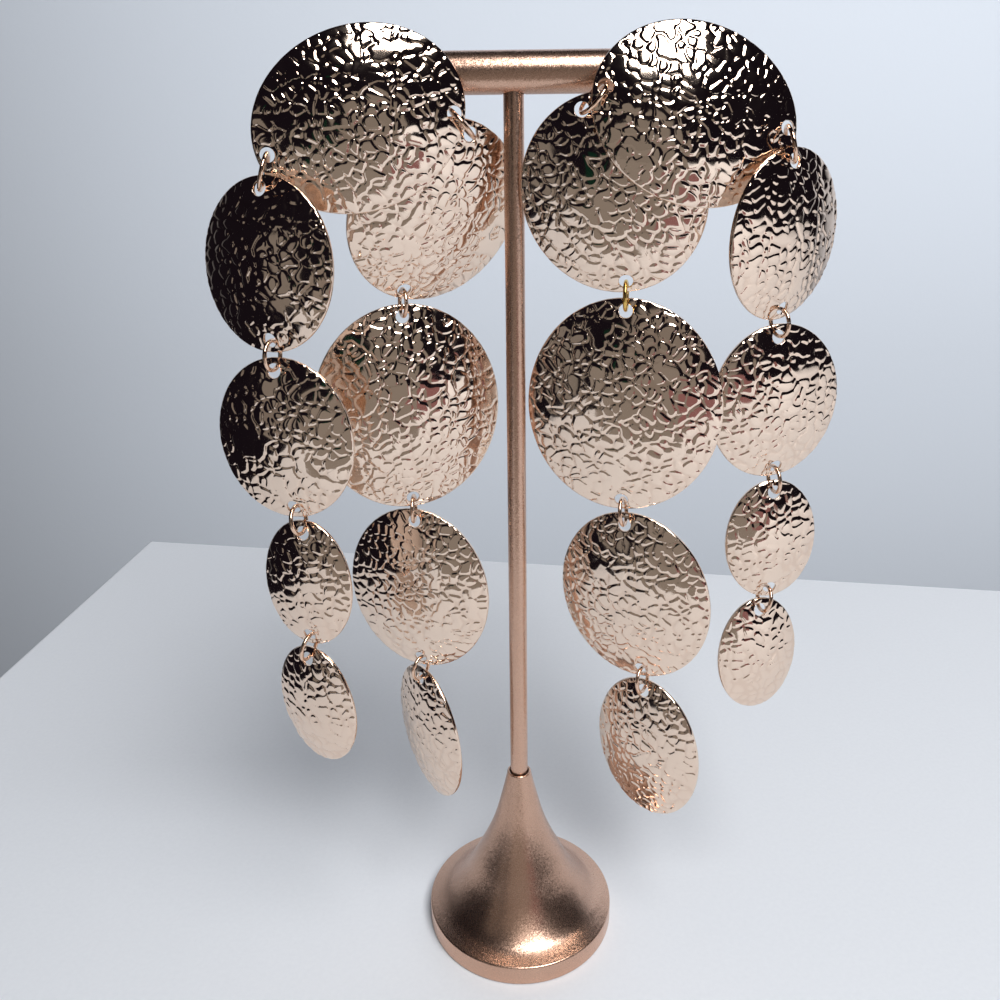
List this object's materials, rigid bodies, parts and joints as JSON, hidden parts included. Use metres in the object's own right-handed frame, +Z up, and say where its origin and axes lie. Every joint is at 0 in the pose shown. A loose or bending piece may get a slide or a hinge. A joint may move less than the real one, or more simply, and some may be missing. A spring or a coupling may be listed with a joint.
{
  "type": "chandelier earring pair on a t-bar stand",
  "caption": "Pair of chandelier earrings with strands of domed, hammered oval discs linked by jump rings, hanging from a round T-bar display stand with a flared base.",
  "frame": {"origin": "middle of the underside of the stand's base", "axes": "+Z up along the post, +X to the viewer's right along the bar, -Y towards the viewer and out of the discs' domed faces"},
  "size_m": [0.127, 0.0436, 0.206],
  "materials": {
    "champagne_plate": "hammered sheet, polished and plated in champagne rose gold",
    "ring_plate": "round wire, polished and plated in pale rose gold",
    "rose_satin_metal": "bead-blasted and anodised satin rose gold"
  },
  "bodies": {
    "root": {"stand_base": "rose_satin_metal", "stand_post": "rose_satin_metal", "stand_bar": "rose_satin_metal", "left_top_disc": "champagne_plate", "left_ear_clip": "ring_plate", "left_inner_ring_1": "ring_plate", "left_inner_disc_2": "champagne_plate", "left_inner_ring_2": "ring_plate", "left_inner_disc_3": "champagne_plate", "left_inner_ring_3": "ring_plate", "left_inner_disc_4": "champagne_plate", "left_inner_ring_4": "ring_plate", "left_inner_disc_5": "champagne_plate", "left_outer_ring_1": "ring_plate", "left_outer_disc_2": "champagne_plate", "left_outer_ring_2": "ring_plate", "left_outer_disc_3": "champagne_plate", "left_outer_ring_3": "ring_plate", "left_outer_disc_4": "champagne_plate", "left_outer_ring_4": "ring_plate", "left_outer_disc_5": "champagne_plate", "right_top_disc": "champagne_plate", "right_ear_clip": "ring_plate", "right_inner_ring_1": "ring_plate", "right_inner_disc_2": "champagne_plate", "right_inner_ring_2": "ring_plate", "right_inner_disc_3": "champagne_plate", "right_inner_ring_3": "ring_plate", "right_inner_disc_4": "champagne_plate", "right_inner_ring_4": "ring_plate", "right_inner_disc_5": "champagne_plate", "right_outer_ring_1": "ring_plate", "right_outer_disc_2": "champagne_plate", "right_outer_ring_2": "ring_plate", "right_outer_disc_3": "champagne_plate", "right_outer_ring_3": "ring_plate", "right_outer_disc_4": "champagne_plate", "right_outer_ring_4": "ring_plate", "right_outer_disc_5": "champagne_plate"}
  },
  "joints": []
}
